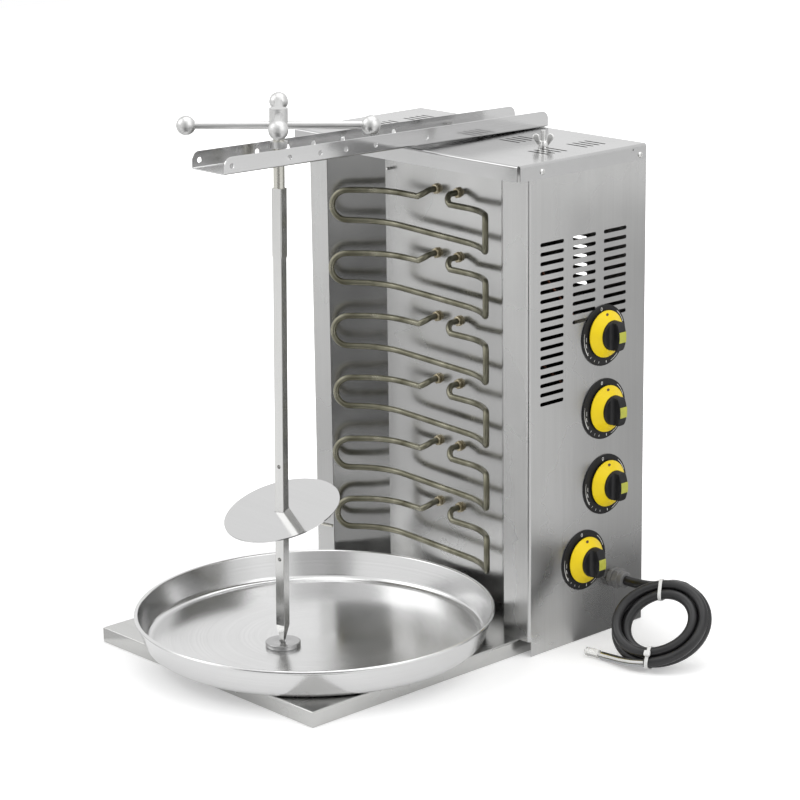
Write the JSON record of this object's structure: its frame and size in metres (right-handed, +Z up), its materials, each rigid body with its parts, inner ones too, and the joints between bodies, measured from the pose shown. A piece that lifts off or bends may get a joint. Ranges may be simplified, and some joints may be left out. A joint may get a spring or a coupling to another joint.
{
  "type": "electric skewer grill",
  "caption": "Upright electric grill: a stainless housing with bent tube heaters in a splayed reflector, a square skewer on a sliding channel, a round drip pan and a cord.",
  "frame": {"origin": "on the floor, at the middle of the footprint of the grill without its cord", "axes": "+Z up, +Y to the back of the housing, +X to the control panel's side"},
  "size_m": [0.6279, 0.6236, 0.7155],
  "materials": {
    "brushed_panel": "stainless sheet, vertical brushed grain",
    "brushed_lid": "stainless sheet, fine grain, folded",
    "brushed_base": "stainless sheet, folded tray",
    "bright_reflector": "bright-annealed stainless sheet",
    "spun_pan": "spun, fine circular grain, bright rim",
    "mirror_beam": "near mirror, faint grain along its length",
    "mirror_disc": "polished plate",
    "ground_bar": "square bar, faint grain along its length",
    "turned_steel": "turned, satin",
    "heater_sheath": "oxidised tube, olive grey",
    "brass_fitting": "dull, heat-tinted brass",
    "ceramic": "glazed white ceramic",
    "plated_fastener": "bright plated",
    "black_dial": null,
    "yellow_skirt": "yellow moulding",
    "black_knob": "black moulding",
    "regulator_case": "moulded thermoset",
    "grey_gland": "grey polyamide",
    "wiring": "insulated wires",
    "cord_rubber": "black rubber sheath",
    "tie_nylon": "white nylon",
    "core_insulation": "five coloured cores",
    "sleeve_plastic": "pale clear sleeve"
  },
  "bodies": {
    "housing": {"control_side_panel": "brushed_panel", "left_side_panel": "brushed_panel", "back_cover": "brushed_panel", "top_cap": "brushed_lid", "base_tray": "brushed_base", "rear_reflector": "bright_reflector", "left_reflector": "bright_reflector", "right_reflector": "bright_reflector", "heating_element_1": "heater_sheath", "heating_element_2": "heater_sheath", "heating_element_3": "heater_sheath", "heating_element_4": "heater_sheath", "heating_element_5": "heater_sheath", "heating_element_6": "heater_sheath", "element_nuts": "brass_fitting", "neutral_bus_bar": "brass_fitting", "terminal_insulators": "ceramic", "terminal_block": "ceramic", "sheet_screws": "plated_fastener", "terminal_studs": "plated_fastener", "wing_stud": "plated_fastener", "wing_nut": "plated_fastener", "dial_rings": "black_dial", "energy_regulators": "regulator_case", "cable_gland": "grey_gland", "gland_cap": "grey_gland", "gland_locknut": "grey_gland", "inner_wiring": "wiring", "cord_lead": "cord_rubber", "cord_coil": "cord_rubber", "cable_ties": "tie_nylon", "wire_ends": "core_insulation", "wire_sleeve": "sleeve_plastic"},
    "carrier": {"top_beam": "mirror_beam", "beam_bolts": "plated_fastener", "beam_nuts": "plated_fastener"},
    "skewer": {"skewer_bar": "ground_bar"},
    "handle": {"handle_hub": "turned_steel", "handle_bar_lower": "turned_steel", "handle_bar_upper": "turned_steel", "handle_balls": "turned_steel", "spindle_rod": "turned_steel", "rod_collar": "turned_steel", "drive_socket": "ground_bar"},
    "disc": {"meat_disc": "mirror_disc"},
    "pin": {"retaining_pin": "ground_bar"},
    "cup": {"tip_puck": "turned_steel"},
    "pan": {"drip_pan": "spun_pan"},
    "knob_1": {"knob_skirt_1": "yellow_skirt", "knob_grip_1": "black_knob", "regulator_shaft_1": "plated_fastener"},
    "knob_2": {"knob_skirt_2": "yellow_skirt", "knob_grip_2": "black_knob", "regulator_shaft_2": "plated_fastener"},
    "knob_3": {"knob_skirt_3": "yellow_skirt", "knob_grip_3": "black_knob", "regulator_shaft_3": "plated_fastener"},
    "knob_4": {"knob_skirt_4": "yellow_skirt", "knob_grip_4": "black_knob", "regulator_shaft_4": "plated_fastener"}
  },
  "joints": [
    {"name": "carrier_slide", "type": "slide", "parent": "housing", "child": "carrier", "axis": [0, 1, 0], "range_m": [0, 0.055]},
    {"name": "skewer_spin", "type": "hinge", "parent": "carrier", "child": "skewer", "pos_m": [-0.006, -0.13525, 0.0264], "axis": [0.0065, 0.0157, 0.9999], "continuous": true},
    {"name": "handle_lift", "type": "slide", "parent": "skewer", "child": "handle", "axis": [0.0065, 0.0157, 0.9999], "range_m": [0, 0.028]},
    {"name": "disc_slide", "type": "slide", "parent": "skewer", "child": "disc", "axis": [0.0065, 0.0157, 0.9999], "range_m": [0, 0.28]},
    {"name": "pin_pull", "type": "slide", "parent": "skewer", "child": "pin", "axis": [0.9573, 0.2868, -0.0369], "range_m": [0, 0.09]},
    {"name": "cup_slide", "type": "slide", "parent": "housing", "child": "cup", "axis": [0, 1, 0], "range_m": [0, 0.055]},
    {"name": "pan_slide", "type": "slide", "parent": "housing", "child": "pan", "axis": [0, -1, 0], "range_m": [0, 0.12]},
    {"name": "knob_1_turn", "type": "hinge", "parent": "housing", "child": "knob_1", "pos_m": [0.205, 0.23215, 0.4036], "axis": [-1, 0, 0], "range_deg": [0, 270]},
    {"name": "knob_2_turn", "type": "hinge", "parent": "housing", "child": "knob_2", "pos_m": [0.205, 0.23495, 0.3045], "axis": [-1, 0, 0], "range_deg": [0, 270]},
    {"name": "knob_3_turn", "type": "hinge", "parent": "housing", "child": "knob_3", "pos_m": [0.205, 0.23815, 0.2036], "axis": [-1, 0, 0], "range_deg": [0, 270]},
    {"name": "knob_4_turn", "type": "hinge", "parent": "housing", "child": "knob_4", "pos_m": [0.205, 0.19775, 0.1089], "axis": [-1, 0, 0], "range_deg": [0, 270]}
  ],
  "couplings": [
    {"joint": "cup_slide", "follows": "carrier_slide", "ratio": 1}
  ]
}
